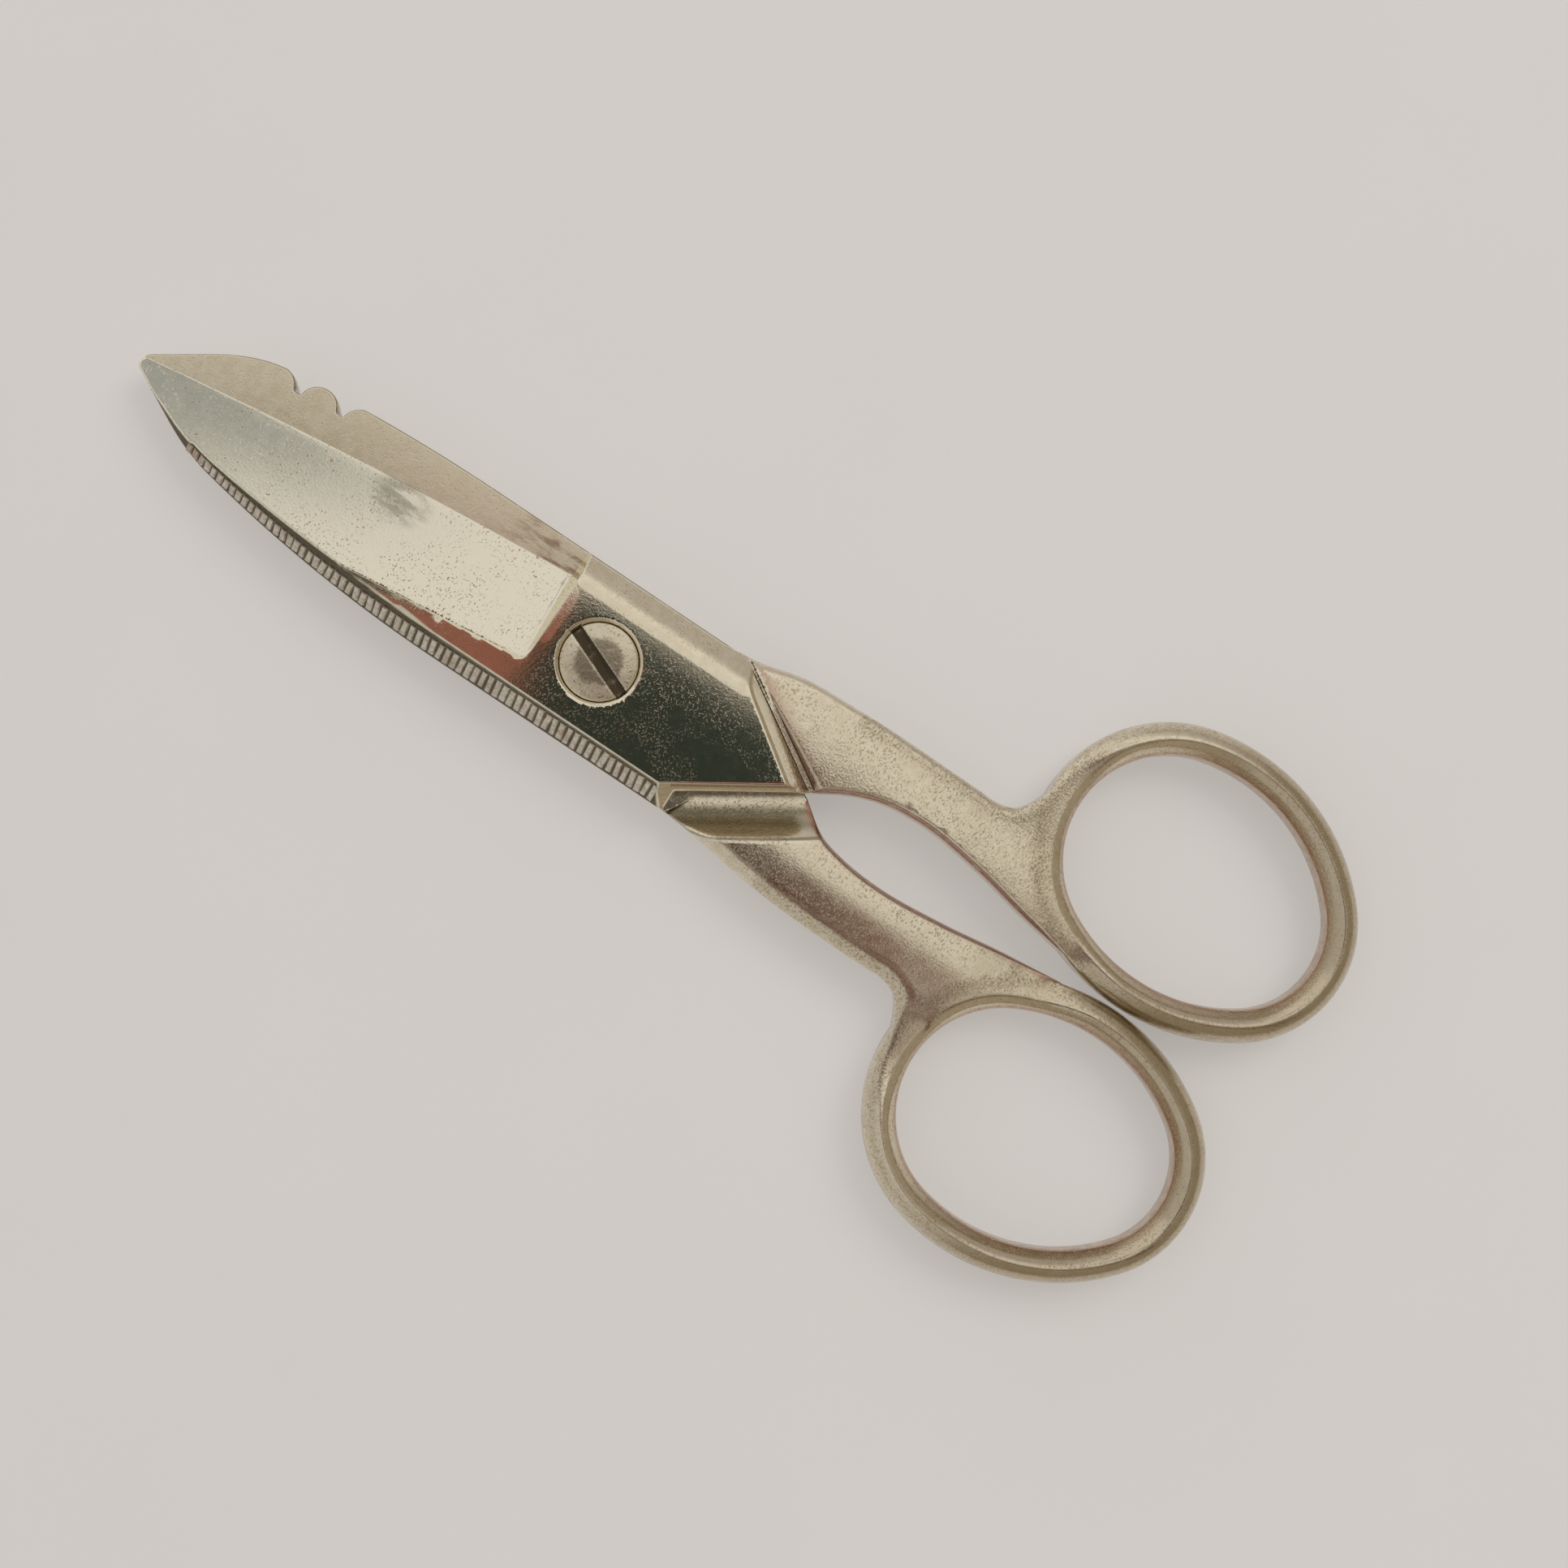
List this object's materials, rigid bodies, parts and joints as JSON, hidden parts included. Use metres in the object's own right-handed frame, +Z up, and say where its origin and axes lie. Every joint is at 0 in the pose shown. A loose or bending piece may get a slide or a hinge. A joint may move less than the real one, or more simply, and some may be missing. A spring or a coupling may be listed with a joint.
{
  "type": "electrician's scissors",
  "caption": "Forged nickel-plated scissors with finger rings, a slotted pivot screw, a file-toothed spine and wire-stripping notches, for cutting cord, cable and cloth.",
  "frame": {"origin": "on the pivot axis, on the plane that the scissors lie on", "axes": "+X from the pivot to the blade tips, +Y to the side of the file-toothed spine, +Z up, out of the screw's slotted head"},
  "size_m": [0.1341, 0.059, 0.0065],
  "materials": {
    "front_steel": "worn nickel plate over a forged, lightly pebbled surface, with a ground blade face",
    "rear_steel": "worn nickel plate over a forged, lightly pebbled surface, with a ground blade face",
    "screw_steel": "worn steel with dirt in the slot"
  },
  "bodies": {
    "rear_half": {"rear_blade": "rear_steel", "pivot_screw": "screw_steel"},
    "front_half": {"front_blade": "front_steel"}
  },
  "joints": [
    {"name": "pivot", "type": "hinge", "parent": "rear_half", "child": "front_half", "pos_m": [0, 0, 0], "axis": [0, 0, 1], "range_deg": [0, 112]}
  ]
}
